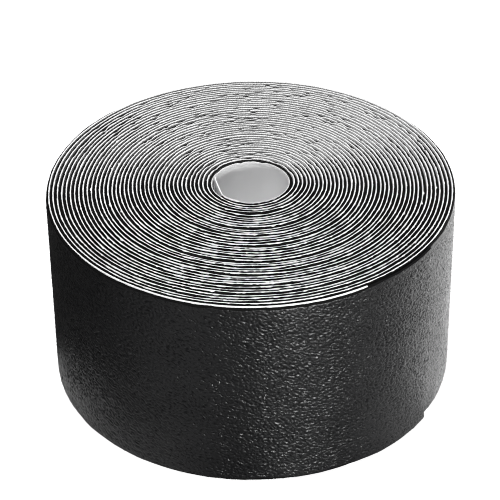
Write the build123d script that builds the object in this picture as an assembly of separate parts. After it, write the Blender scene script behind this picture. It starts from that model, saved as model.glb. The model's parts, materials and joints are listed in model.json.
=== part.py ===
from build123d import *

import os
from math import cos, degrees, dist, radians, sin
from typing import NamedTuple

# Roll of racket grip and head-protection tape, built up from its four wound layers.
#
# From the inside of a turn to the outside the layers are release liner, adhesive, backing cloth
# and embossed skin.  The coil is a spiral of tangent half-circle arcs, so every layer keeps its
# thickness exactly.  It is looser on its front side (-Y) than on its far side (+Y), so the core
# hole sits behind the middle of the roll.
#
# The last 120 degrees of the outermost turn are the free tail, cut into ten short links.  The
# liner stops short of the tape's end, and the bare adhesive tab beyond it holds the roll closed.
# In the core the liner runs on past the tape's inner end as a straight flap.
#
# Units are millimetres, angles are degrees counterclockwise from +X seen from above.  +Z is up
# along the winding axis, z = 0 is the plane the roll rests on, and the origin is at the middle
# of the roll's footprint.

# ---- strip ----
TAPE_WIDTH = 25.0         # skin, backing and adhesive
LINER_WIDTH = 25.4        # the liner stands proud of the tape by the same amount at each edge
LINER_T = 0.11
PEEL_GAP = 0.01           # between liner and adhesive
ADHESIVE_T = 0.03
BACKING_T = 0.15
SKIN_T = 0.11

# ---- coil ----
CORE_R = 4.45             # inner face of the liner on the first turn
TURNS = 40
PITCH_FAR = 0.476         # radial spacing of turns on the +Y side
PITCH_FRONT = 0.51        # radial spacing of turns on the -Y side
FIRST_PITCH_FRONT = 0.58  # the first turn has to climb over the tape's own inner end
TAPE_START = 219.0        # angle of the tape's inner end about the core

# ---- tail, angles about the centre of the coil's last arc ----
TAIL_START = 208.0        # where the coil ends and the first link starts
LINER_END = 302.0         # the liner's outer end
TAPE_END = 328.0          # the tape's outer end, about the tab's own centre
LINED_LINKS = 8           # links with liner behind them
TAB_LINKS = 2             # links of the bare closing tab
LINK_GAP = 0.02           # slit between neighbouring links
TAB_TUCK = 0.78           # how much smaller the tab's radius is, so that its tip meets the roll

# ---- core flap ----
FLAP_TIP = 162.0          # angle at which the flap's tip meets the core wall
FLAP_ROOT_GAP = 0.02      # between the flap's root and the wound liner
FLAP_WALL_GAP = 0.05      # between the flap's tip and the core wall


class Layer(NamedTuple):
    """A layer of the strip; offsets are measured outwards from the liner's inner face."""
    inner: float
    outer: float
    bottom: float
    top: float


class Bend(NamedTuple):
    """An arc of the strip's path, followed by the liner's inner face."""
    centre: tuple
    radius: float
    start: float
    end: float


TAPE_BOTTOM = (LINER_WIDTH - TAPE_WIDTH) / 2
TAPE_TOP = TAPE_BOTTOM + TAPE_WIDTH
ADHESIVE_INNER = LINER_T + PEEL_GAP
BACKING_INNER = ADHESIVE_INNER + ADHESIVE_T
SKIN_INNER = BACKING_INNER + BACKING_T
STACK = SKIN_INNER + SKIN_T

TAPE_LAYERS = {
    "adhesive": Layer(ADHESIVE_INNER, BACKING_INNER, TAPE_BOTTOM, TAPE_TOP),
    "backing": Layer(BACKING_INNER, SKIN_INNER, TAPE_BOTTOM, TAPE_TOP),
    "skin": Layer(SKIN_INNER, STACK, TAPE_BOTTOM, TAPE_TOP),
}
ALL_LAYERS = {"liner": Layer(0.0, LINER_T, 0.0, LINER_WIDTH), **TAPE_LAYERS}


# ---- path ----
def polar(centre, radius, angle):
    """The point at a radius and angle about a centre."""
    turn = radians(angle)
    return (centre[0] + radius * cos(turn), centre[1] + radius * sin(turn))


def wind_coil(core_centre):
    """The coil's bends from the core outwards, each tangent to the one before."""
    x, y = core_centre
    radius = CORE_R
    bends = [Bend(core_centre, radius, TAPE_START, 450.0)]
    for turn in range(TURNS):
        # -X half: moving the centre to -Y opens the spacing on the front
        step = (FIRST_PITCH_FRONT if turn == 0 else PITCH_FRONT) / 2
        y -= step
        radius += step
        if turn == TURNS - 1:
            bends.append(Bend((x, y), radius, 90.0, TAIL_START))
            break
        bends.append(Bend((x, y), radius, 90.0, 270.0))
        # +X half: moving the centre to +Y opens the spacing on the far side
        y += PITCH_FAR / 2
        radius += PITCH_FAR / 2
        bends.append(Bend((x, y), radius, -90.0, 90.0))
    return bends


def centred_core():
    """The core centre that puts the middle of the coil's footprint at the origin."""
    right, left = wind_coil((0.0, 0.0))[-2:]
    x_max = right.centre[0] + right.radius + STACK
    x_min = left.centre[0] - left.radius - STACK
    y_max = right.centre[1] + right.radius + STACK
    y_min = left.centre[1] - left.radius - STACK
    return (-(x_max + x_min) / 2, -(y_max + y_min) / 2)


def trimmed(bend, trim_start=True, trim_end=True):
    """The bend shortened by half a slit at the chosen ends."""
    half_slit = degrees(LINK_GAP / 2 / bend.radius)
    return bend._replace(
        start=bend.start + half_slit * trim_start,
        end=bend.end - half_slit * trim_end,
    )


# ---- solids ----
def extrude_outline(outline, bottom, top):
    face = Face(outline)
    if face.normal_at().Z < 0:
        face = -face
    return extrude(face.moved(Location((0, 0, bottom))), top - bottom, dir=(0, 0, 1))


def arc_edge(centre, radius, start, end):
    angles = (start, (start + end) / 2, end)
    return Edge.make_three_point_arc(*(polar(centre, radius, angle) for angle in angles))


def wound_strip(bends, layer):
    """One layer of the strip, following tangent bends."""
    inner, outer = layer.inner, layer.outer
    outer_edges = [
        arc_edge(bend.centre, bend.radius + outer, bend.start, bend.end) for bend in bends
    ]
    inner_edges = [
        arc_edge(bend.centre, bend.radius + inner, bend.end, bend.start)
        for bend in reversed(bends)
    ]
    first, last = bends[0], bends[-1]
    end_edge = Edge.make_line(
        polar(last.centre, last.radius + outer, last.end),
        polar(last.centre, last.radius + inner, last.end),
    )
    start_edge = Edge.make_line(
        polar(first.centre, first.radius + inner, first.start),
        polar(first.centre, first.radius + outer, first.start),
    )
    outline = Wire(outer_edges + [end_edge] + inner_edges + [start_edge])
    return extrude_outline(outline, layer.bottom, layer.top)


def wound_layers(prefix, bends, layers, suffix=""):
    """The named pieces of several layers that follow the same bends."""
    return {
        f"{prefix}_{name}{suffix}": wound_strip(bends, layer)
        for name, layer in layers.items()
    }


def coil(bends):
    """The wound coil: each layer is one continuous strip."""
    return wound_layers("coil", bends[:-1] + [trimmed(bends[-1], trim_start=False)], ALL_LAYERS)


def lined_tail(centre, radius):
    """The tail's links with liner behind them, continuing the coil's last arc."""
    parts = {}
    step = (LINER_END - TAIL_START) / LINED_LINKS
    for i in range(LINED_LINKS):
        start = TAIL_START + i * step
        link = trimmed(Bend(centre, radius, start, start + step))
        parts |= wound_layers("tail", [link], ALL_LAYERS, f"_{i + 1}")
    return parts


def closing_tab(tail_centre, tail_radius):
    """The links without liner, on a tighter arc tangent to the lined tail's end."""
    parts = {}
    centre = polar(tail_centre, TAB_TUCK, LINER_END)
    radius = tail_radius - TAB_TUCK
    step = (TAPE_END - LINER_END) / TAB_LINKS
    for i in range(TAB_LINKS):
        start = LINER_END + i * step
        link = trimmed(Bend(centre, radius, start, start + step), trim_end=i < TAB_LINKS - 1)
        parts |= wound_layers("tab", [link], TAPE_LAYERS, f"_{i + 1}")
    return parts


def core_flap(core_centre, wall):
    """The liner's inner end: a straight flap across the core to the wall bend."""
    root = polar(core_centre, CORE_R, TAPE_START)
    tip = polar(wall.centre, wall.radius - LINER_T - FLAP_WALL_GAP, FLAP_TIP)
    length = dist(root, tip)
    along_x = (tip[0] - root[0]) / length
    along_y = (tip[1] - root[1]) / length
    start = (root[0] + along_x * FLAP_ROOT_GAP, root[1] + along_y * FLAP_ROOT_GAP)
    # the thickness lies on the left of the direction from root to tip, towards the wall
    out_x, out_y = -along_y * LINER_T, along_x * LINER_T
    corners = [
        start,
        tip,
        (tip[0] + out_x, tip[1] + out_y),
        (start[0] + out_x, start[1] + out_y),
    ]
    return extrude_outline(Wire.make_polygon(corners, close=True), 0.0, LINER_WIDTH)


def build():
    core_centre = centred_core()
    bends = wind_coil(core_centre)
    tail_centre, tail_radius = bends[-1].centre, bends[-1].radius
    return {
        **coil(bends),
        **lined_tail(tail_centre, tail_radius),
        **closing_tab(tail_centre, tail_radius),
        "core_flap": core_flap(core_centre, wall=bends[1]),
    }


if __name__ == "__main__":
    os.makedirs("parts", exist_ok=True)
    for name, solid in build().items():
        export_step(solid, f"parts/{name}.step")
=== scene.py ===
# A roll of black adhesive tape with an embossed leather skin and a pale paper liner.
# It stands on the floor with its axis on Z; its open bore is slightly off centre, the
# camera looks down from -Y (the front), and the tail starts on the left (-X).
# The tail and its tab are built link by link, the last liner links as pieces of their own,
# and a flap of bare liner crosses the wall of the bore.
import json
import math

import bpy
import numpy as np
from mathutils import Matrix, Vector


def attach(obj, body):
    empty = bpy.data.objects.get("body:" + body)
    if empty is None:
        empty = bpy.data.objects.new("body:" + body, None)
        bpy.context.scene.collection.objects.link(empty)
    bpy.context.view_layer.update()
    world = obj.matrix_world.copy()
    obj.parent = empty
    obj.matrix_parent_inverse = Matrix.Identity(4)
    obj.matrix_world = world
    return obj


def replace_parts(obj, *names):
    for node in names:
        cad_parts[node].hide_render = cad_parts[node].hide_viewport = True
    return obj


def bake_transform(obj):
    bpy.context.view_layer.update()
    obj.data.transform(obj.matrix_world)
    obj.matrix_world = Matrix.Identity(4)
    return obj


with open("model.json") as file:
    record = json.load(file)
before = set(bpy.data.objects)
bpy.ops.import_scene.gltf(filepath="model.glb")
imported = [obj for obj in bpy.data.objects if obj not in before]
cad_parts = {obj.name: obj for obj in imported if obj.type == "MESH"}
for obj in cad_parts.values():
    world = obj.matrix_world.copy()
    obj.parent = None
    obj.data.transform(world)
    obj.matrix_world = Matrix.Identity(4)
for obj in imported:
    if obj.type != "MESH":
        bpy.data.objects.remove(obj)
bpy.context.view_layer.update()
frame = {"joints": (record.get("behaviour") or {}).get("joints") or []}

MM = 0.001

# ---------------------------------------------------------------------------------
# Dimensions: millimetres and degrees.  Radii are to the liner's inner face.
# ---------------------------------------------------------------------------------
LINER_T, PEEL_GAP, ADHESIVE_T, BACKING_T, SKIN_T = 0.11, 0.01, 0.03, 0.15, 0.11
# offsets of the layers' inner faces from the liner's inner face
ADHESIVE_IN = LINER_T + PEEL_GAP
BACKING_IN = ADHESIVE_IN + ADHESIVE_T
SKIN_IN = BACKING_IN + BACKING_T
STACK = SKIN_IN + SKIN_T
CORE_R, TURNS = 4.45, 40
PITCH_FAR, PITCH_FRONT, FIRST_PITCH_FRONT = 0.476, 0.51, 0.58
TAPE_START, FLAP_TIP = 219.0, 162.0
TAIL_START, LINER_END, TAPE_END = 208.0, 302.0, 328.0
LINED_LINKS, TAB_LINKS, PEEL_LINKS = 8, 2, 3
TAB_TUCK = 0.78     # how far the tab's arc is drawn in
TOP = 25.4          # tape width
LENGTH_OFFSET = 0.2 # offset at which lengths along the tape are measured
GRAIN = 0.205       # relief of the embossed skin
SKIN_ROWS = 248


# ---------------------------------------------------------------------------------
# The tape's path: tangent arcs, each (centre, radius, start, end)
# ---------------------------------------------------------------------------------
def at(centre, radius, deg):
    angle = math.radians(deg)
    return (centre[0] + radius * math.cos(angle), centre[1] + radius * math.sin(angle))


def coil_arcs(origin):
    """Half circles, left then right; the left ones set the front pitch, the right the far."""
    x, y = origin
    radius = CORE_R
    arcs = [((x, y), radius, TAPE_START, 450.0)]
    for turn in range(TURNS):
        step = FIRST_PITCH_FRONT / 2 if turn == 0 else PITCH_FRONT / 2
        y, radius = y - step, radius + step
        last = turn == TURNS - 1
        arcs.append(((x, y), radius, 90.0, TAIL_START if last else 270.0))
        if not last:
            y, radius = y + PITCH_FAR / 2, radius + PITCH_FAR / 2
            arcs.append(((x, y), radius, -90.0, 90.0))
    return arcs


# the outermost half circles are centred on the Z axis
RIGHT_ARC, LEFT_ARC = coil_arcs((0.0, 0.0))[-2:]
ORIGIN = tuple(
    -((RIGHT_ARC[0][i] + RIGHT_ARC[1] + STACK) + (LEFT_ARC[0][i] - LEFT_ARC[1] - STACK)) / 2
    for i in (0, 1)
)
ARCS = coil_arcs(ORIGIN)
TAIL_C, TAIL_R = ARCS[-1][:2]
TAB_C, TAB_R = at(TAIL_C, TAB_TUCK, LINER_END), TAIL_R - TAB_TUCK

# stop if the CAD's tail joint doesn't lie on this path
JOINTS = {joint["name"]: joint["pos_m"] for joint in frame["joints"]}
UNROLL = at(TAIL_C, TAIL_R + STACK + 0.01, TAIL_START)
if math.dist(UNROLL, [v / MM for v in JOINTS["tail_unroll"][:2]]) > 0.02:
    raise SystemExit(f"the path misses the tail joint: {UNROLL}, {JOINTS['tail_unroll']}")

PATH = ARCS + [
    (TAIL_C, TAIL_R, TAIL_START, LINER_END),
    (TAB_C, TAB_R, LINER_END, TAPE_END),
]
ARC_C = np.array([arc[0] for arc in PATH])
ARC_R = np.array([arc[1] for arc in PATH])
ARC_START = np.radians([arc[2] for arc in PATH])
ARC_SWEEP = np.radians([arc[3] for arc in PATH]) - ARC_START
ARC_LEN = (ARC_R + LENGTH_OFFSET) * ARC_SWEEP
# path length and angle turned where each arc starts, and at the end
ARC_RUN = np.concatenate([[0.0], np.cumsum(ARC_LEN)])
ARC_TURNED = np.concatenate([[0.0], np.cumsum(ARC_SWEEP)])

# "run" is a path length from the start of the tape
TAIL_RUN, LINER_END_RUN, END_RUN = ARC_RUN[-3:]
LINK = (LINER_END_RUN - TAIL_RUN) / LINED_LINKS
TAB_LINK = (END_RUN - LINER_END_RUN) / TAB_LINKS
FIRST_TURN_RUN = ARC_RUN[2] + 2.0


# ---------------------------------------------------------------------------------
# Repeatable noise
# ---------------------------------------------------------------------------------
def clamp(value):
    return np.clip(value, 0, 1)


def hump(deg, centre, width):
    return np.exp(-(((deg - centre) / width) ** 2))


def noise(run, length, seed):
    """Smooth noise along the tape, about -1 to 1, with features of the given length."""
    table = np.random.default_rng(seed).uniform(-1, 1, 4096)
    place = np.asarray(run, float) / length + 13.7 * seed
    cell = np.floor(place).astype(int)
    part = place - cell
    part = part * part * (3 - 2 * part)
    return table[cell % 4096] * (1 - part) + table[(cell + 1) % 4096] * part


def layered(run, *terms):
    """Sum of noises; terms are (amount, feature length, seed)."""
    return sum(amount * noise(run, length, seed) for amount, length, seed in terms)


SHUFFLE = np.random.default_rng(5).permutation(1024)
SLOPE_ANGLES = np.linspace(0, 2 * np.pi, 1024, endpoint=False)
SLOPE_X, SLOPE_Y = np.cos(SLOPE_ANGLES), np.sin(SLOPE_ANGLES)


def perlin(x, y, seed):
    cell_x, cell_y = np.floor(x).astype(int), np.floor(y).astype(int)
    part_x, part_y = x - cell_x, y - cell_y

    def corner(dx, dy):
        pick = SHUFFLE[(SHUFFLE[(cell_x + dx + 17 * seed) % 1024] + cell_y + dy) % 1024]
        return SLOPE_X[pick] * (part_x - dx) + SLOPE_Y[pick] * (part_y - dy)

    def ease(part):
        return part * part * part * (part * (part * 6 - 15) + 10)

    ease_x, ease_y = ease(part_x), ease(part_y)
    low = corner(0, 0) * (1 - ease_x) + corner(1, 0) * ease_x
    high = corner(0, 1) * (1 - ease_x) + corner(1, 1) * ease_x
    return (low * (1 - ease_y) + high * ease_y) * 1.45


def leather(run, z):
    """Height of the grain, about 0 to 1: small rounded wrinkles between creases."""
    slant = math.radians(24.0)
    x = run * math.cos(slant) - z * math.sin(slant)
    y = run * math.sin(slant) + z * math.cos(slant)
    # bend the wrinkles, coarsely and finely
    warp_x = perlin(run / 2.6, z / 2.6, 3) + 0.5 * perlin(run / 0.9, z / 0.9, 4)
    warp_y = perlin(run / 3.0, z / 3.0, 6) + 0.5 * perlin(run / 0.8, z / 0.8, 7)
    x, y = x + 0.50 * warp_x, y + 0.34 * warp_y
    wrinkles = perlin(x / 0.33, y / 0.215, 11) + 0.35 * perlin(x / 0.22 + 4.0, y / 0.18, 13)
    creases = np.abs(perlin(x / 0.46 + 9.0, y / 0.30, 12))
    height = 0.32 + 0.35 * wrinkles + 0.34 * np.sqrt(creases + 0.01)
    return height + 0.08 * perlin(run / 4.0, z / 4.0, 14)


def events(run, per_mm, width, seed, weight=None):
    """Sparse bumps along the tape, 0 to 1; weight gives their likelihood by direction."""
    rng = np.random.default_rng(seed)
    count = int(END_RUN * per_mm)
    places = rng.uniform(0, END_RUN, count)
    widths = rng.uniform(0.5, 1.5, count) * width
    sizes = rng.uniform(0.4, 1.0, count)
    keep = np.ones(count, bool)
    if weight is not None:
        keep = rng.uniform(0, 1, count) < weight(angle_at(places))
    bumps = np.zeros(len(run))
    order = np.argsort(run)
    ordered = run[order]
    for place, wide, size in zip(places[keep], widths[keep], sizes[keep]):
        i, j = np.searchsorted(ordered, [place - 3 * wide, place + 3 * wide])
        if j > i:
            near = order[i:j]
            bumps[near] = np.maximum(bumps[near], size * hump(run[near], place, wide))
    return bumps


# ---------------------------------------------------------------------------------
# Points on the path
# ---------------------------------------------------------------------------------
def locate(run):
    """(arc index, direction from its centre, total angle turned), angles in radians."""
    arc = np.clip(np.searchsorted(ARC_RUN, run, side="right") - 1, 0, len(PATH) - 1)
    swept = (run - ARC_RUN[arc]) / ARC_LEN[arc] * ARC_SWEEP[arc]
    return arc, ARC_START[arc] + swept, ARC_TURNED[arc] + swept


def angle_at(run):
    """Direction of each point from its arc's centre, -180 to 180 degrees."""
    angle = locate(np.asarray(run, float))[1]
    return (np.degrees(angle) + 180) % 360 - 180


def front_share(deg):
    """1 at the front (-Y), 0 on the far side."""
    return 0.5 - 0.5 * np.sin(np.radians(deg))


def front_weight(deg):
    return np.clip(front_share(deg) * 1.15 - 0.15, 0.06, 1.0)


def far_weight(deg):
    return np.clip(1.0 - front_share(deg) * 1.5, 0.01, 1.0)


# the coil's out-of-roundness: (amount, waves per turn, phase, phase drift per turn)
WOBBLE = (
    (0.050, 2, 1.3, 0.10),
    (0.040, 3, 0.4, -0.13),
    (0.022, 5, 2.2, 0.17),
    (0.012, 9, 0.9, 0.31),
)


def base_line(run):
    """(points, normals) of the liner's inner face, with the coil's small unevenness."""
    arc, angle, turned = locate(run)
    turn = turned / (2 * np.pi)
    normals = np.stack([np.cos(angle), np.sin(angle)], 1)
    # the unevenness fades out towards both ends of the coil
    window = clamp((turn - 0.4) / 3) * clamp((39.0 - turn) / 4)
    uneven = sum(
        amount * np.sin(waves * angle + phase + drift * turn)
        for amount, waves, phase, drift in WOBBLE
    )
    loose = 0.028 + 0.030 * front_share(np.degrees(angle))
    uneven = uneven + loose * layered(run, (0.55, 14.0, 21), (0.45, 3.6, 22))
    # the outer turns grow wider in X
    oval = 0.09 * np.cos(angle) ** 2 * clamp(turn / 38.0) ** 2
    points = ARC_C[arc] + (ARC_R[arc] + window * uneven + oval)[:, None] * normals
    return points, normals


# ---------------------------------------------------------------------------------
# Edge shapes, shared by the coil and the tail so that neighbouring pieces meet
# ---------------------------------------------------------------------------------
def calmness(run):
    """0 on the outermost turns, which are wound cleanly, 1 further in."""
    return clamp((TAIL_RUN - 150.0 - run) / 120.0)


def ruffle(run):
    """How unevenly the edges are stacked: most at the front, where the turns lie looser."""
    deg = angle_at(run)
    mess = hump(deg, centre=-92.0, width=34.0)
    return (0.45 * front_share(deg) + 0.55 * mess) * (0.25 + 0.75 * calmness(run))


def first_turn(run):
    """1 on the far part of the first turn, whose liner is pushed down the bore, else 0."""
    far = clamp(0.55 + 0.75 * np.sin(np.radians(angle_at(run))))
    return clamp((FIRST_TURN_RUN - run) / 6.0) * far


def top_edge(run):
    loose = ruffle(run)
    z = TOP - 0.045 + layered(run, (0.030, 47.0, 31), (0.028 + 0.040 * loose, 7.0, 32))
    return z + loose * (layered(run, (0.065, 22.0, 35), (0.035, 2.2, 36)) - 0.03)


def bottom_edge(run):
    return 0.03 + layered(run, (0.028, 60.0, 33), (0.018, 8.0, 34))


def section(run, rows):
    """(offsets, heights) of a cross-section, from its (offset, height) corners."""
    ones = np.ones(len(run))
    return [np.stack([row[i] * ones for row in rows], 1) for i in (0, 1)]


def liner_section(run):
    """The liner: a thin sheet whose slit edges are soft and a little swollen."""
    calm, loose, first = calmness(run), ruffle(run), first_turn(run)
    grit = layered(run, (0.5, 0.35, 41), (0.5, 0.8, 42))
    fluff = np.maximum(
        events(run, per_mm=0.05, width=0.20, seed=43, weight=front_weight),
        0.55 * events(run, per_mm=0.60, width=0.11, seed=40, weight=front_weight),
    )
    fluff = fluff * (0.10 + 0.90 * calm)
    nick = events(run, per_mm=0.20, width=0.38, seed=44, weight=far_weight) * calm

    # how far the top edge swells outwards: base, grit, tufts, free tail, far left side
    outer = 0.146 - 0.007 * loose + (0.020 + 0.036 * loose) * grit
    outer = outer + 0.17 * fluff * fluff + 0.06 * clamp((run - TAIL_RUN) / 8.0)
    outer = outer + 0.024 * loose * noise(run, 1.1, 50)
    outer = outer + 0.030 * hump(angle_at(run), centre=128.0, width=18.0)
    outer = outer * (1 - first) + 0.10 * first
    inner = (0.022 + 0.012 * noise(run, 0.6, 45)) * (1 - first)
    top = top_edge(run) + (0.006 + 0.014 * calm + 0.040 * loose) * grit
    top = top + 0.015 * fluff - 0.20 * nick - 0.17 * first

    # the bottom edge
    grit_low = layered(run, (0.5, 0.35, 46), (0.5, 0.8, 47))
    fluff_low = events(run, per_mm=0.5, width=0.35, seed=48)
    outer_low = 0.128 + 0.012 * grit_low + 0.16 * fluff_low * fluff_low
    inner_low = 0.022 + 0.012 * noise(run, 0.6, 49)
    bottom = np.maximum(bottom_edge(run) - 0.015 * grit_low, 0.002)
    return section(run, (
        (0, bottom + 0.50), (0, top - 0.50),
        (-inner, top - 0.13), (-inner + 0.02, top - 0.02),
        (0.5 * LINER_T, top + 0.012),
        (outer - 0.02, top - 0.008), (outer, top - 0.10),
        (LINER_T, top - 0.42), (LINER_T, bottom + 0.42),
        (outer_low, bottom + 0.10), (outer_low - 0.02, bottom),
        (-inner_low + 0.01, bottom),
    ))


def cut_depth(run, offset, seed):
    """How far the black layers' cut edge lies inside the liner's: it falls away outwards."""
    deg = angle_at(run)
    loose, first = ruffle(run), first_turn(run)
    outer = clamp((run - 0.45 * TAIL_RUN) / (0.25 * TAIL_RUN))
    far_left = (1.0 + 0.30 * outer) * hump(deg, 142.0 - 8.0 * (1 - outer), 26.0)
    # a stretch of the outer turns that falls away more at the front
    stretch = clamp((run - TAIL_RUN + 152.0) / 12.0) * clamp((TAIL_RUN - 112.0 - run) / 12.0)
    fall = 0.33 + layered(
        run, (0.09 + 0.10 * loose, 5.0, seed), (0.06 + 0.10 * loose, 0.9, seed + 1)
    )
    fall = fall + 0.20 * stretch * front_share(deg)
    fall = fall * (1 - 0.64 * far_left)
    fall = fall + 0.12 * hump(deg, centre=88.0, width=34.0)          # far side
    fall = fall * (1 - 0.55 * hump(deg, centre=14.0, width=24.0))    # right side
    fall = fall * (1 - 0.80 * clamp((run - LINER_END_RUN + 2.0) / 4.0))  # tab
    fall = fall * (1 - 0.85 * first)
    start = 0.030 + layered(run, (0.025, 1.3, seed + 2), (0.02, 6.0, seed + 3))
    start = start + 0.02 * first
    return start + (offset - ADHESIVE_IN) / (STACK - ADHESIVE_IN) * fall


def cut_heights(run, offset):
    """(bottom, top) of the black layers at an offset."""
    return (
        bottom_edge(run) + cut_depth(run, offset, seed=61),
        top_edge(run) - cut_depth(run, offset, seed=51),
    )


def layer_section(run, inner, outer, soft):
    """One black layer between two offsets; soft is how far its edges bulge."""
    middle = (inner + outer) / 2
    inner_low, inner_top = cut_heights(run, inner)
    middle_low, middle_top = cut_heights(run, middle)
    outer_low, outer_top = cut_heights(run, outer)
    return section(run, (
        (inner, inner_low), (inner, inner_top), (middle, middle_top + soft),
        (outer, outer_top), (outer, outer_low), (middle, middle_low - soft),
    ))


def skin_section(run, rows):
    """The skin: its flat inner face, then its embossed outer face from top to bottom."""
    inner_low, inner_top = cut_heights(run, SKIN_IN)
    outer_low, outer_top = cut_heights(run, STACK)
    low, top = outer_low[:, None], outer_top[:, None]
    z = low + (top - low) * np.linspace(1, 0, rows)[None, :]
    along = np.broadcast_to(run[:, None], z.shape)
    grain = leather(along, z)
    rim = np.minimum(z - low, top - z)
    # the grain flattens and the face rounds off towards the edges
    offsets = STACK + GRAIN * (grain - 0.50) * (0.35 + 0.65 * clamp(rim / 0.5))
    offsets = offsets - 0.030 * np.exp(-rim / 0.09)
    # sparse dents
    offsets = offsets - 0.02 * clamp(perlin(along / 2.3, z / 2.3, 17) - 0.55)
    offsets = np.maximum(offsets, SKIN_IN + 0.03)
    ones = np.ones(len(run))
    return (
        np.column_stack([SKIN_IN * ones, SKIN_IN * ones, offsets]),
        np.column_stack([inner_low, inner_top, z]),
        np.column_stack([0.5 * ones, 0.5 * ones, grain]),
    )


# ---------------------------------------------------------------------------------
# Shader nodes
# ---------------------------------------------------------------------------------
WHITE = (1, 1, 1, 1)


class Tree:
    """An emptied node tree and short ways to add to it."""

    def __init__(self, owner):
        owner.use_nodes = True
        self.tree = owner.node_tree
        self.tree.nodes.clear()

    def feed(self, node, inputs):
        """Link or set inputs, given as {name or index: socket or value}."""
        for key, value in inputs.items():
            if isinstance(value, bpy.types.NodeSocket):
                self.tree.links.new(value, node.inputs[key])
            else:
                node.inputs[key].default_value = value

    def node(self, kind, inputs=None, **settings):
        """Outputs of a new node."""
        node = self.tree.nodes.new("ShaderNode" + kind)
        for name, value in settings.items():
            setattr(node, name, value)
        self.feed(node, inputs or {})
        return node.outputs

    def math(self, operation, first, second=0.0):
        return self.node("Math", {0: first, 1: second}, operation=operation)[0]

    def remap(self, value, to, span=(0.0, 1.0), **settings):
        inputs = {0: value, 1: span[0], 2: span[1], 3: to[0], 4: to[1]}
        return self.node("MapRange", inputs, **settings)[0]

    def smooth(self, value, span, to):
        return self.remap(value, to, span, interpolation_type="SMOOTHSTEP")

    def ramp(self, value, *stops):
        """Stops are (position, grey or colour)."""
        node = self.tree.nodes.new("ShaderNodeValToRGB")
        elements = node.color_ramp.elements
        while len(elements) < len(stops):
            elements.new(0.5)
        for i, (position, colour) in enumerate(stops):
            if isinstance(colour, (int, float)):
                colour = (colour, colour, colour)
            elements[i].position = position
            elements[i].color = (*colour, 1)
        self.feed(node, {0: value})
        return node.outputs[0]

    def around(self, x, y, stops, turn=0.0):
        """Brightness by direction round the roll; stops are (degrees, brightness)."""
        angle = self.math("SUBTRACT", self.math("ARCTAN2", y, x), turn)
        part = self.math("ADD", self.math("DIVIDE", angle, 2 * math.pi), 0.5)
        halved = self.ramp(part, *(((deg + 180) / 360, value / 2) for deg, value in stops))
        return self.math("MULTIPLY", halved, 2.0)

    def glow_and_diffuse(self, strength, grey):
        glow = self.node("Emission", {0: WHITE, 1: strength})[0]
        diffuse = self.node("BsdfDiffuse", {0: (grey, grey, grey, 1)})[0]
        return self.node("AddShader", {0: glow, 1: diffuse})[0]

    def by_camera(self, other, seen):
        """One shader for camera rays, another for all other rays."""
        camera_ray = self.node("LightPath")["Is Camera Ray"]
        return self.node("MixShader", {0: camera_ray, 1: other, 2: seen})[0]


class Surface(Tree):
    """A material on the "strip" map, which is in centimetres."""

    def __init__(self, name):
        self.material = bpy.data.materials.new(name)
        super().__init__(self.material)
        self.bsdf = self.tree.nodes.new("ShaderNodeBsdfPrincipled")
        self.node("OutputMaterial", {0: self.bsdf.outputs[0]})
        self.strip = self.node("UVMap", uv_map="strip")[0]

    def finish(self, inputs):
        self.feed(self.bsdf, inputs)
        return self.material

    def scaled(self, along, up, deg=0.0):
        return self.node("Mapping", {
            "Scale": (along, up, 1),
            "Rotation": (0, 0, math.radians(deg)),
            "Vector": self.strip,
        })[0]

    def noise(self, scale, detail=2.0, rough=0.5, distort=0.0, vector=None):
        return self.node("TexNoise", {
            "Scale": scale,
            "Detail": detail,
            "Roughness": rough,
            "Distortion": distort,
            "Vector": vector or self.strip,
        })["Fac"]

    def bump(self, height, distance, strength, under=None):
        inputs = {"Strength": strength, "Distance": distance, "Height": height}
        if under is not None:
            inputs["Normal"] = under
        return self.node("Bump", inputs)[0]

    def far(self):
        """1 on the far side of the roll, falling to 0 towards its left and right; the mask for
        the painted light and shade on the liner.
        """
        place = self.node("TexCoord")["Object"]
        flat = self.node("VectorMath", {0: place, 1: (1, 1, 0)}, operation="MULTIPLY")[0]
        unit = self.node("VectorMath", {0: flat}, operation="NORMALIZE")[0]
        return self.remap(self.node("SeparateXYZ", {0: unit})["Y"], (0.0, 1.0), (0.45, 0.95))

    def mix(self, share, colour, grey):
        inputs = {0: share, 6: colour, 7: (grey, grey, grey, 1)}
        return self.node("Mix", inputs, data_type="RGBA")[2]


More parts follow.
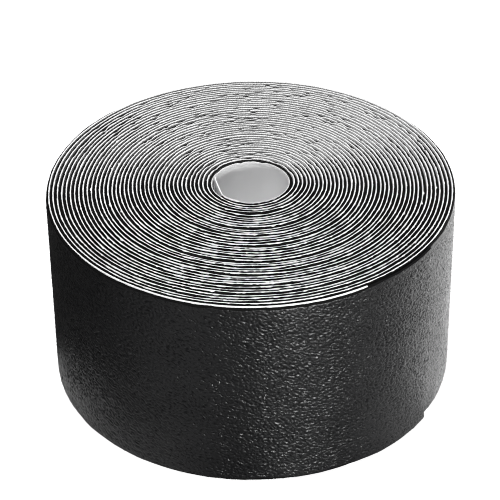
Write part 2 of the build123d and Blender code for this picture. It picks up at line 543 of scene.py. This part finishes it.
# ---------------------------------------------------------------------------------
# Materials
# ---------------------------------------------------------------------------------
def make_leather():
    mat = Surface("skin_leather")
    slanted = mat.scaled(along=1.0, up=1.75, deg=-32)
    fine = mat.noise(scale=20.0, detail=3.0, rough=0.55, distort=0.35, vector=slanted)
    crease = mat.math("ABSOLUTE", mat.math("SUBTRACT", fine, 0.5))
    crease = mat.remap(crease, to=(0.0, 1.0), span=(0.0, 0.16))
    cells = mat.node("TexVoronoi", {"Scale": 44.0, "Vector": mat.strip}, feature="F1")
    pore = mat.remap(cells["Distance"], to=(0.0, 1.0), span=(0.0, 0.5))
    micro = mat.noise(scale=160.0, rough=0.6)
    broad = mat.noise(scale=1.1)
    # painted shade: the base colour is darkened in the creases of the bump
    colour = mat.ramp(
        crease,
        (0.0, (0.0042, 0.0042, 0.0046)),
        (0.55, (0.0078, 0.0078, 0.0084)),
        (1.0, (0.0102, 0.0101, 0.0107)),
    )
    rough = mat.math(
        "ADD", mat.remap(broad, to=(0.28, 0.33)), mat.remap(crease, to=(0.08, -0.02))
    )
    rough = mat.math("ADD", rough, mat.remap(micro, to=(-0.03, 0.03)))
    # painted shade: the valleys of the modelled grain are given less specular, standing in for
    # the shade in them
    height = mat.node("Attribute", attribute_name="grain")["Fac"]
    normal = mat.bump(crease, distance=0.000016, strength=1.0)
    normal = mat.bump(pore, distance=0.000006, strength=0.8, under=normal)
    normal = mat.bump(micro, distance=0.0000010, strength=0.8, under=normal)
    return mat.finish({
        "Base Color": colour,
        "Roughness": rough,
        "Specular IOR Level": mat.remap(height, to=(0.10, 0.62), span=(0.20, 0.50)),
        "Normal": normal,
    })


def make_edge():
    """The slit edge of the black layers: matt, a little fibrous."""
    mat = Surface("black_cut_edge")
    fibre = mat.noise(scale=30.0, detail=3.0, rough=0.6, vector=mat.scaled(along=1.0, up=3.0))
    return mat.finish({
        "Base Color": mat.ramp(fibre, (0.3, 0.0015), (0.62, 0.004), (0.82, 0.014)),
        "Roughness": mat.remap(fibre, to=(0.75, 0.95)),
        "Specular IOR Level": 0.12,
        "Normal": mat.bump(fibre, distance=0.00003, strength=0.7),
    })


def make_backing():
    """Woven cloth with a slight fuzz."""
    mat = Surface("backing_cloth")
    warp, weft = (
        mat.node(
            "TexWave", {"Scale": 9.0, "Distortion": 0.6, "Vector": mat.strip},
            wave_type="BANDS", bands_direction=direction,
        )["Fac"]
        for direction in "XY"
    )
    weave = mat.math("MULTIPLY", warp, weft)
    fuzz = mat.noise(scale=40.0, detail=3.0, rough=0.65)
    cloth = mat.math("ADD", mat.remap(weave, to=(0.0, 0.5)), mat.remap(fuzz, to=(0.0, 0.5)))
    return mat.finish({
        "Base Color": mat.ramp(cloth, (0.2, 0.003), (0.6, 0.0075), (0.9, 0.018)),
        "Roughness": mat.remap(fuzz, to=(0.78, 0.95)),
        "Specular IOR Level": 0.15,
        "Normal": mat.bump(cloth, distance=0.00004, strength=0.7),
    })


def make_adhesive():
    mat = Surface("adhesive_tacky")
    mottle = mat.noise(scale=3.2, detail=3.0, rough=0.55, distort=0.5)
    ripple = mat.noise(scale=14.0, vector=mat.scaled(along=1.0, up=0.35))
    return mat.finish({
        "Base Color": mat.ramp(mottle, (0.3, 0.012), (0.7, (0.024, 0.024, 0.025))),
        "Roughness": mat.remap(ripple, to=(0.22, 0.42)),
        "Specular IOR Level": 0.35,
        "Coat Weight": 0.15,
        "Coat Roughness": 0.25,
        "Normal": mat.bump(ripple, distance=0.00005, strength=0.6),
    })


def paper_fibre(mat):
    slanted = mat.scaled(along=0.35, up=1.6, deg=12)
    return mat.noise(scale=60.0, detail=3.0, rough=0.6, distort=0.4, vector=slanted)


def make_paper():
    """The liner's smooth faces, with painted light making them lighter on the far side."""
    mat = Surface("liner_coated_face")
    cloud = mat.noise(scale=2.4, detail=3.0, rough=0.6)
    fibre = paper_fibre(mat)
    colour = mat.ramp(cloud, (0.25, (0.70, 0.70, 0.71)), (0.75, (0.80, 0.80, 0.805)))
    return mat.finish({
        # painted light: on the far side the colour is mixed towards a lighter grey
        "Base Color": mat.mix(mat.far(), colour, grey=0.93),
        "Roughness": mat.remap(fibre, to=(0.38, 0.52)),
        "Specular IOR Level": 0.4,
        "Normal": mat.bump(fibre, distance=0.000006, strength=0.5),
    })


def make_paper_edge():
    """The liner's gritty slit edges, with painted shade making them darker on the far side."""
    mat = Surface("liner_slit_edge")
    fibre = paper_fibre(mat)
    grit = mat.noise(scale=70.0, rough=0.7)
    colour = mat.ramp(grit, (0.20, 0.58), (0.42, 0.89), (0.8, 0.96))
    return mat.finish({
        # painted shade: on the far side the colour is mixed towards a middle grey
        "Base Color": mat.mix(mat.math("MULTIPLY", mat.far(), 0.85), colour, grey=0.78),
        "Roughness": mat.remap(fibre, to=(0.62, 0.85)),
        "Specular IOR Level": 0.4,
        "Normal": mat.bump(grit, distance=0.00003, strength=0.6),
    })


LEATHER, EDGE, BACKING, ADHESIVE = make_leather(), make_edge(), make_backing(), make_adhesive()
PAPER, PAPER_EDGE = make_paper(), make_paper_edge()

# kind: (face material, edge material, which sides of the cross-section are faces)
LOOKS = {
    "liner": (PAPER, PAPER_EDGE, [0, 7]),
    "adhesive": (ADHESIVE, EDGE, [0, 3]),
    "backing": (BACKING, EDGE, [0, 3]),
    "skin_plain": (LEATHER, EDGE, [0, 3]),
    "skin": (LEATHER, EDGE, slice(2, -1)),
}
# kind: (inner offset, outer offset, bulge of the edges)
LAYERS = {
    "adhesive": (ADHESIVE_IN, BACKING_IN, 0.0),
    "backing": (BACKING_IN, SKIN_IN, 0.012),
    "skin_plain": (SKIN_IN, STACK, 0.01),
}


# ---------------------------------------------------------------------------------
# Meshes
# ---------------------------------------------------------------------------------
def bake_map(run, offsets, heights):
    """A map without overlaps: the strip laid out in rows, the end caps above them."""
    stations, corners = offsets.shape
    offset_mean, height_mean = offsets.mean(0), heights.mean(0)
    sides = np.hypot(
        np.diff(offset_mean, append=offset_mean[0]), np.diff(height_mean, append=height_mean[0])
    )
    sides = sides + 0.004 * sides.sum()
    girth = sides.sum()
    share = np.concatenate([[0], np.cumsum(sides)]) / girth
    rows = max(1, int(round(math.sqrt((run[-1] - run[0]) / girth))))
    per_row = int(math.ceil((stations - 1) / rows))
    station = np.repeat(np.arange(stations - 1), corners)
    corner = np.tile(np.arange(corners), stations - 1)
    row = station // per_row
    left, right = ((station - row * per_row + i) / per_row for i in (0, 1))
    band = 0.97 / rows
    low, high = (row * band + share[corner + i] * band * 0.97 for i in (0, 1))
    quads = np.stack([left, low, left, high, right, high, right, low], 1).reshape(-1, 2)

    def spread(values):
        return (values - values.min()) / (np.ptp(values) + 1e-9)

    cap = np.stack([spread(heights[0]) * 0.45, 0.98 + spread(offsets[0]) * 0.018], 1)
    return np.concatenate([quads, cap[::-1], cap + [0.5, 0]])


def strip_mesh(name, kind, run, points, normals, offsets, heights, grain=None):
    """A closed strip: cross-sections joined along the run, with end caps."""
    face, edge, face_sides = LOOKS[kind]
    stations, corners = offsets.shape
    flat = points[:, None, :] + offsets[:, :, None] * normals[:, None, :]
    verts = np.concatenate([flat, heights[:, :, None]], 2).reshape(-1, 3) * MM
    here = np.arange(stations - 1)[:, None] * corners
    ahead = here + corners
    j = np.arange(corners)[None, :]
    after = (j + 1) % corners
    quads = np.stack([here + j, here + after, ahead + after, ahead + j], 2).ravel()
    first_cap = np.arange(corners)[::-1]
    last_cap = (stations - 1) * corners + np.arange(corners)
    loops = np.concatenate([quads, first_cap, last_cap]).astype(np.int32)
    cap_starts = [len(quads), len(quads) + corners]
    starts = np.concatenate([np.arange(0, len(quads), 4), cap_starts]).astype(np.int32)
    slots = np.ones(corners, int)
    slots[face_sides] = 0
    slots = np.concatenate([np.tile(slots, stations - 1), [1, 1]]).astype(np.int32)

    mesh = bpy.data.meshes.new(name)
    mesh.vertices.add(len(verts))
    mesh.vertices.foreach_set("co", verts.astype(np.float32).ravel())
    mesh.loops.add(len(loops))
    mesh.loops.foreach_set("vertex_index", loops)
    mesh.polygons.add(len(starts))
    mesh.polygons.foreach_set("loop_start", starts)
    mesh.polygons.foreach_set("material_index", slots)
    mesh.update(calc_edges=True)
    mesh.polygons.foreach_set("use_smooth", np.ones(len(starts), bool))

    def add_map(layer, coords):
        data = mesh.uv_layers.new(name=layer).data
        data.foreach_set("uv", coords.astype(np.float32).ravel())

    # length along the strip, and height plus offset, in centimetres
    strip = np.stack([np.repeat(run, corners) / 10, (heights + offsets).ravel() / 10], 1)
    add_map("strip", strip[loops])
    if grain is not None:
        data = mesh.attributes.new("grain", "FLOAT", "POINT").data
        data.foreach_set("value", grain.astype(np.float32).ravel())
    add_map("OFBake", bake_map(run, offsets, heights))
    mesh.uv_layers["strip"].active = True
    mesh.uv_layers["strip"].active_render = True
    mesh.materials.append(face)
    mesh.materials.append(edge)
    mesh.set_sharp_from_angle(angle=math.radians(42))
    strip_object = bpy.data.objects.new(name, mesh)
    bpy.context.scene.collection.objects.link(strip_object)
    return strip_object


def piece(kind, name, start, stop, step, rows=SKIN_ROWS):
    """One layer of the tape between two runs."""
    run = np.linspace(start, stop, max(2, int(round((stop - start) / step)) + 1))
    if kind == "liner":
        shape = liner_section(run)
    elif kind == "skin":
        shape = skin_section(run, rows)
    else:
        shape = layer_section(run, *LAYERS[kind])
    return strip_mesh(name, kind, run, *base_line(run), *shape)


# ---------------------------------------------------------------------------------
# The wound coil
# ---------------------------------------------------------------------------------
HALF_LINK = LINK / 2
CUT = TAIL_RUN - HALF_LINK      # the wound pieces end half a link before the first hinge
ONE_TURN_BACK = float(np.interp(ARC_TURNED[-3] - 2 * np.pi, ARC_TURNED, ARC_RUN))
FLAP_BEND = 1.1                 # the flap's piece holds this much of the wound liner
LINER_SPLIT = 0.55 * CUT
FINE = ONE_TURN_BACK - 0.6      # the embossed skin starts here
UNDER_TAIL_END = ONE_TURN_BACK + (LINER_END_RUN - TAIL_RUN)
OUTER_SPLIT = (UNDER_TAIL_END + CUT) / 2

# (kind, name, start, stop, step, rows across the skin)
WOUND = (
    ("liner", "liner_wound_inner", FLAP_BEND, LINER_SPLIT, 0.243),
    ("liner", "liner_wound_outer", LINER_SPLIT, CUT, 0.243),
    ("adhesive", "adhesive_wound", 0.0, CUT, 0.5),
    ("backing", "backing_wound", 0.0, CUT, 0.4),
    ("skin_plain", "skin_wound", 0.0, FINE, 0.3),
    ("skin", "skin_under_tail", FINE, UNDER_TAIL_END, 0.14, 184),
    ("skin", "skin_outer_turn_right", UNDER_TAIL_END, OUTER_SPLIT, 0.125, 206),
    ("skin", "skin_outer_turn_left", OUTER_SPLIT, CUT, 0.125, 206),
)
for kind, *shape in WOUND:
    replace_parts(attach(piece(kind, *shape), "roll"), "coil_" + kind.split("_")[0])


# ---------------------------------------------------------------------------------
# The tail: each piece runs from mid-link to mid-link, across the hinge between
# ---------------------------------------------------------------------------------
def point(run):
    """The point at mid-height of the tape, in metres."""
    points, normals = base_line(np.array([run]))
    x, y = points[0] + normals[0] * LENGTH_OFFSET
    return (x * MM, y * MM, TOP / 2 * MM)


def bending_piece(kind, name, parent, child, start, end, stop, step, replaced):
    """A piece from start to stop, across the hinge between two links from start to end."""
    strip = piece(kind, name, start, stop, step)
    point(start)
    point(end)
    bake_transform(strip)
    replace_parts(strip, replaced)


LINER_STEP = 0.27
# (parent link, child link, start, end, part, number)
hinges = []
for k in range(1, LINED_LINKS + 1):
    parent = "roll" if k == 1 else f"tail_link_{k - 1}"
    hinge = TAIL_RUN + (k - 1) * LINK
    hinges.append((parent, f"tail_link_{k}", hinge - HALF_LINK, hinge + HALF_LINK, "tail", k))
hinge = LINER_END_RUN
last_lined = f"tail_link_{LINED_LINKS}"
hinges.append((last_lined, "tab_link_1", hinge - HALF_LINK, hinge + TAB_LINK / 2, "tab", 1))
hinge = LINER_END_RUN + TAB_LINK
hinges.append(("tab_link_1", "tab_link_2", hinge - TAB_LINK / 2, hinge + TAB_LINK / 2, "tab", 2))

for i, (parent, child, start, end, part, number) in enumerate(hinges):
    stop = END_RUN if i == len(hinges) - 1 else end
    span = (parent, child, start, end, stop)
    for kind, step in (("skin", 0.10), ("backing", 0.4), ("adhesive", 0.4)):
        name = f"{kind}_{part}_{number}"
        bending_piece(kind, name, *span, step, f"{part}_{kind}_{number}")
    if i < LINED_LINKS - PEEL_LINKS:
        name = f"liner_{part}_{number}"
        bending_piece("liner", name, *span, LINER_STEP, f"tail_liner_{number}")

# the liner's last links, as pieces of their own
for k in range(1, PEEL_LINKS + 1):
    number = LINED_LINKS - PEEL_LINKS + k
    hinge = TAIL_RUN + (number - 1) * LINK
    parent = f"tail_link_{number - 1}" if k == 1 else f"liner_link_{k - 1}"
    start, end = hinge - HALF_LINK, hinge + HALF_LINK
    stop = LINER_END_RUN if k == PEEL_LINKS else end
    span = (parent, f"liner_link_{k}", start, end, stop)
    bending_piece("liner", f"liner_peel_{k}", *span, LINER_STEP, f"tail_liner_{number}")


# ---------------------------------------------------------------------------------
# The liner's flap across the core wall
# ---------------------------------------------------------------------------------
def flap():
    flat_count, arc_count = 26, 9
    root = np.array(at(ORIGIN, CORE_R, TAPE_START))
    wall_centre, wall_radius = ARCS[1][:2]
    tip = np.array(at(wall_centre, wall_radius - LINER_T - 0.05, FLAP_TIP))
    line = tip + (root - tip) * np.linspace(0, 1, flat_count)[:, None]
    arc_run = np.linspace(0, FLAP_BEND, arc_count)
    arc, arc_normals = base_line(arc_run)
    points = np.concatenate([line, arc[1:]])
    first, last = flat_count - 6, flat_count + 3
    for _ in range(10):   # ease the fold at the root
        points[first:last] = (
            0.5 * points[first:last]
            + 0.25 * points[first - 1 : last - 1]
            + 0.25 * points[first + 1 : last + 1]
        )
    heading = np.gradient(points, axis=0)
    heading /= np.linalg.norm(heading, axis=1)[:, None]
    normals = np.stack([heading[:, 1], -heading[:, 0]], 1)
    normals[-3:] = arc_normals[-3:]
    length = np.linalg.norm(tip - root)
    run = np.concatenate([np.linspace(-length, 0, flat_count), arc_run[1:]])
    # a slight bow, as paper has when it springs off a curve
    bow = clamp(1 - np.abs(run / length * 2 + 1) ** 2) * (run < 0)
    points = points + normals * (0.07 * bow)[:, None]
    # the flap borrows its edges from 40 mm further on, and blends into the coil's
    flap_shape = liner_section(np.where(run < 0, run + 40.0, run))
    coil_shape = liner_section(np.clip(run, 0, None))
    share = clamp(run / 0.5 + 1)[:, None]
    offsets, heights = (
        free * (1 - share) + wound * share for free, wound in zip(flap_shape, coil_shape)
    )
    # it thins at the tip
    full = clamp((run + length) / 0.25)[:, None]
    middle = LINER_T / 2
    offsets = middle + (offsets - middle) * (0.75 + 0.25 * full)
    strip = strip_mesh("liner_core_flap", "liner", run, points, normals, offsets, heights)
    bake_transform(strip)
    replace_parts(strip, "core_flap")


flap()

# ---------------------------------------------------------------------------------
# World and floor: light by direction round the roll, as (degrees, brightness)
# ---------------------------------------------------------------------------------
WORLD_FRONT = (
    (-180, 0.0), (-150, 0.0), (-120, 0.05), (-84, 0.0), (-74, 1.3), (-50, 1.0), (-40, 0.0),
    (180, 0.0),
)
WORLD_RIGHT = (
    (-180, 0.0), (-48, 0.0), (-40, 0.1), (-18, 0.6), (5, 0.9), (50, 1.0), (90, 0.8),
    (118, 0.0), (180, 0.0),
)
FLOOR_FRONT = (
    (-180, 0.0), (-150, 0.02), (-135, 0.17), (-115, 0.29), (-97, 0.01), (-87, 0.02),
    (-81, 0.30), (-66, 0.12), (-58, 0.0), (180, 0.0),
)
FLOOR_RIGHT = (
    (-180, 0.0), (-58, 0.0), (-47, 0.24), (-36, 0.56), (-25, 0.86), (-14, 2.0), (0, 1.85),
    (8, 2.0), (17, 2.6), (50, 2.6), (75, 1.5), (95, 0.0), (180, 0.0),
)
FLOOR_NEAR_LEFT = (
    (-180, 0.7), (-160, 0.9), (-135, 0.4), (-100, 0.0), (100, 0.0), (165, 0.0),
)

scene = bpy.context.scene
scene.view_settings.view_transform = "Standard"
scene.view_settings.look = "None"


def make_world():
    """White to the camera; to the roll, bright patches low down and a glow overhead."""
    world = bpy.data.worlds.new("studio")
    scene.world = world
    sky = Tree(world)
    ray = sky.node("SeparateXYZ", {0: sky.node("TexCoord")["Generated"]})
    x, y, z = ray["X"], ray["Y"], ray["Z"]
    front, right = (
        sky.math("MULTIPLY", sky.around(x, y, stops), sky.smooth(z, span=span, to=(1.0, 0.0)))
        for stops, span in ((WORLD_FRONT, (0.05, 0.20)), (WORLD_RIGHT, (0.05, 0.25)))
    )
    high = sky.smooth(z, span=(0.20, 0.90), to=(0.0, 0.36))
    strength = sky.math("ADD", sky.math("ADD", front, right), high)
    lit = sky.node("Background", {0: WHITE, 1: strength})[0]
    seen = sky.node("Background", {0: WHITE, 1: 1.0})[0]
    sky.node("OutputWorld", {0: sky.by_camera(lit, seen)})


def make_floor():
    """Pale to the camera, dimmer to what it lights; distances are in metres."""
    bpy.ops.mesh.primitive_circle_add(
        vertices=96, radius=1.6, fill_type="NGON", location=(0, 0, -0.00002)
    )
    floor = bpy.context.object
    floor.name = "floor"
    material = bpy.data.materials.new("floor_pale")
    mat = Tree(material)
    seen = mat.glow_and_diffuse(strength=0.86, grey=0.40)
    place = mat.node("SeparateXYZ", {0: mat.node("NewGeometry")["Position"]})
    x, y = place["X"], place["Y"]
    squares = mat.math("ADD", mat.math("MULTIPLY", x, x), mat.math("MULTIPLY", y, y))
    distance = mat.math("SQRT", squares)

    def fade(brightness, span, to):
        return mat.math("MULTIPLY", brightness, mat.smooth(distance, span, to))

    ring = fade(mat.around(x, y, FLOOR_FRONT), span=(0.025, 0.055), to=(0.45, 1.0))
    # the right-hand light swings round with distance
    swing = (math.radians(-5.0), math.radians(19.0))
    turn = mat.smooth(distance, span=(0.026, 0.050), to=swing)
    ring = mat.math("ADD", ring, mat.around(x, y, FLOOR_RIGHT, turn))
    ring = fade(ring, span=(0.15, 0.9), to=(1.0, 0.5))
    # close to the roll on its left
    near = fade(mat.around(x, y, FLOOR_NEAR_LEFT), span=(0.0255, 0.034), to=(1.0, 0.0))
    near = fade(near, span=(0.018, 0.024), to=(0.0, 1.0))
    # the floor inside the bore glows, as a light for the bore's wall
    bore = mat.smooth(distance, span=(0.0035, 0.0055), to=(2.1, 0.0))
    strength = mat.math("ADD", mat.math("ADD", ring, near), bore)
    other = mat.glow_and_diffuse(strength, grey=0.06)
    mat.node("OutputMaterial", {0: mat.by_camera(other, seen)})
    floor.data.materials.append(material)


make_world()
make_floor()


# ---------------------------------------------------------------------------------
# Lights and camera
# ---------------------------------------------------------------------------------
def area(name, place, aim_z, power, width, height):
    """An area light aimed at a height on the Z axis; metres and watts."""
    data = bpy.data.lights.new(name, "AREA")
    data.energy = power
    data.shape = "RECTANGLE"
    data.size, data.size_y = width, height
    light = bpy.data.objects.new(name, data)
    scene.collection.objects.link(light)
    light.location = place
    light.rotation_mode = "QUATERNION"
    aim = Vector((0, 0, aim_z)) - Vector(place)
    light.rotation_quaternion = aim.to_track_quat("-Z", "Y")
    light.visible_camera = False


area("key_soft", (-0.10, -0.04, 0.47), aim_z=0.02, power=1.70, width=0.30, height=0.30)
area("top_soft", (-0.03, 0.14, 0.48), aim_z=0.02, power=0.58, width=0.35, height=0.35)
area("strip_front", (0.18, -0.38, 0.048), aim_z=0.012, power=1.65, width=0.20, height=0.085)
area("rim_right", (0.40, 0.10, 0.05), aim_z=0.012, power=0.25, width=0.34, height=0.08)

CAMERA_RISE, CAMERA_ROLL = math.radians(35.31), math.radians(-0.65)
# millimetres: distance from the roll's middle, and where that middle sits in the view
CAMERA_DISTANCE, VIEW_X, VIEW_Y = 268.5574, 0.192523, -2.617338


def make_camera():
    data = bpy.data.cameras.new("camera")
    data.sensor_width = 36.0
    data.lens = 157.932
    data.clip_start, data.clip_end = 0.01, 10
    camera = bpy.data.objects.new("camera", data)
    scene.cycles.filter_width = 1.0
    scene.collection.objects.link(camera)
    back = np.array([0, -math.cos(CAMERA_RISE), math.sin(CAMERA_RISE)])
    level = np.array([1.0, 0, 0])
    upright = np.cross(back, level)
    right = math.cos(CAMERA_ROLL) * level + math.sin(CAMERA_ROLL) * upright
    up = -math.sin(CAMERA_ROLL) * level + math.cos(CAMERA_ROLL) * upright
    place = back * CAMERA_DISTANCE - VIEW_X * right - VIEW_Y * up + np.array([0, 0, TOP / 2])
    pose = Matrix.Identity(4)
    for i in range(3):
        pose[i] = (right[i], up[i], back[i], place[i] * MM)
    camera.matrix_world = pose
    scene.camera = camera


make_camera()

bpy.context.view_layer.update()
